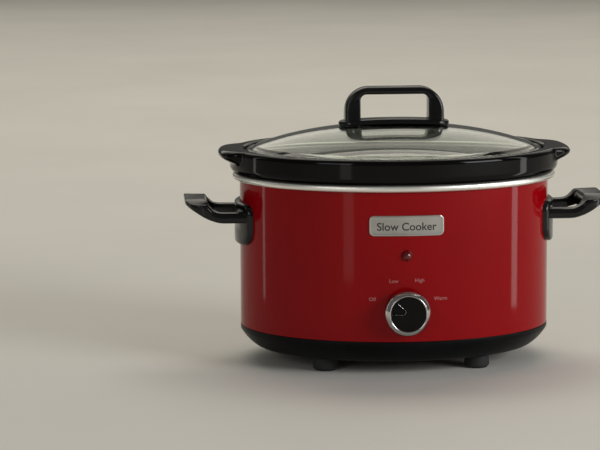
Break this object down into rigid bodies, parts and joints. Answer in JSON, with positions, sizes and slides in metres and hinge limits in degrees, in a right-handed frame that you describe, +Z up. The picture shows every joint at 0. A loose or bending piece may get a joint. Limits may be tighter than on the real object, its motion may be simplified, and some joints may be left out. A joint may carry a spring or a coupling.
{
  "type": "slow cooker",
  "caption": "Oval slow cooker: a steel-wrapped heating base on rubber feet, a lift-out stoneware crock, a domed glass lid with a loop handle, and a rotary heat control.",
  "frame": {"origin": "on the table the feet stand on, under the middle of the oval body", "axes": "+Z up, front with the control towards -Y, +X to the right seen from the front"},
  "size_m": [0.3696, 0.2384, 0.2398],
  "materials": {
    "wrap_paint": "glossy deep red enamel",
    "pot_metal": "satin rolled rim",
    "crock_glaze": "glossy black glaze",
    "lid_glass": "clear toughened glass",
    "handle_plastic": "moulded, polished",
    "tray_plastic": "moulded, satin",
    "foot_rubber": "matte",
    "badge_metal": "fine brushed",
    "lens_red": "clear red, faceted",
    "knob_chrome": "bright plating",
    "knob_plastic": "moulded, satin",
    "band_mica": "woven glass over mica",
    "spring_steel": "drawn wire",
    "brass_parts": "stamped",
    "plated_steel": "zinc plated",
    "neon_glass": "clear bulb",
    "resistor_body": "coated",
    "switch_plastic": "moulded",
    "block_ceramic": "unglazed",
    "glass_sleeve": "braided glass",
    "gland_plastic": "moulded",
    "wire_brown": "silicone insulation",
    "wire_blue": "silicone insulation",
    "wire_green": "silicone insulation",
    "wire_white": "silicone insulation"
  },
  "bodies": {
    "base": {"base_tray": "tray_plastic", "outer_wrap": "wrap_paint", "heating_pot": "pot_metal", "heater_band": "band_mica", "heater_springs": "spring_steel", "heater_terminals": "brass_parts", "pot_stud": "plated_steel", "stud_spacer": "plated_steel", "stud_washer": "plated_steel", "stud_nut": "plated_steel", "foot_front_left": "foot_rubber", "foot_front_right": "foot_rubber", "foot_rear_left": "foot_rubber", "foot_rear_right": "foot_rubber", "foot_screws": "plated_steel", "left_handle": "handle_plastic", "right_handle": "handle_plastic", "handle_screws": "plated_steel", "badge_plate": "badge_metal", "badge_clips": "spring_steel", "lamp_lens": "lens_red", "lamp_clip": "spring_steel", "neon_lamp": "neon_glass", "lamp_resistor": "resistor_body", "switch_housing": "switch_plastic", "switch_back": "switch_plastic", "switch_terminals": "brass_parts", "switch_nut": "plated_steel", "thermal_cutoff": "plated_steel", "cutoff_sleeve": "glass_sleeve", "cutoff_clip": "plated_steel", "terminal_block": "block_ceramic", "terminal_screws": "brass_parts", "earth_stud": "plated_steel", "earth_tag": "brass_parts", "earth_nut": "plated_steel", "cord_gland": "gland_plastic", "gland_nut": "gland_plastic", "wire_live": "wire_brown", "wire_neutral": "wire_blue", "wire_earth": "wire_green", "wire_cutoff_in": "wire_brown", "wire_cutoff_out": "wire_brown", "wire_heater_left": "wire_white", "wire_heater_right": "wire_blue", "wire_lamp": "wire_white"},
    "crock": {"crock": "crock_glaze"},
    "lid": {"lid_glass": "lid_glass", "lid_handle": "handle_plastic", "lid_handle_screws": "plated_steel", "lid_handle_washers": "foot_rubber"},
    "knob": {"knob_body": "knob_plastic", "knob_ring": "knob_chrome", "knob_clip": "spring_steel", "switch_shaft": "plated_steel", "switch_rotor": "switch_plastic"}
  },
  "joints": [
    {"name": "crock_lift", "type": "slide", "parent": "base", "child": "crock", "axis": [0, 0, 1], "range_m": [0, 0.16]},
    {"name": "lid_lift", "type": "slide", "parent": "crock", "child": "lid", "axis": [0, 0, 1], "range_m": [0, 0.12]},
    {"name": "knob_turn", "type": "hinge", "parent": "base", "child": "knob", "pos_m": [0, -0.11, 0.0578], "axis": [0, 1, 0], "range_deg": [0, 135]}
  ]
}
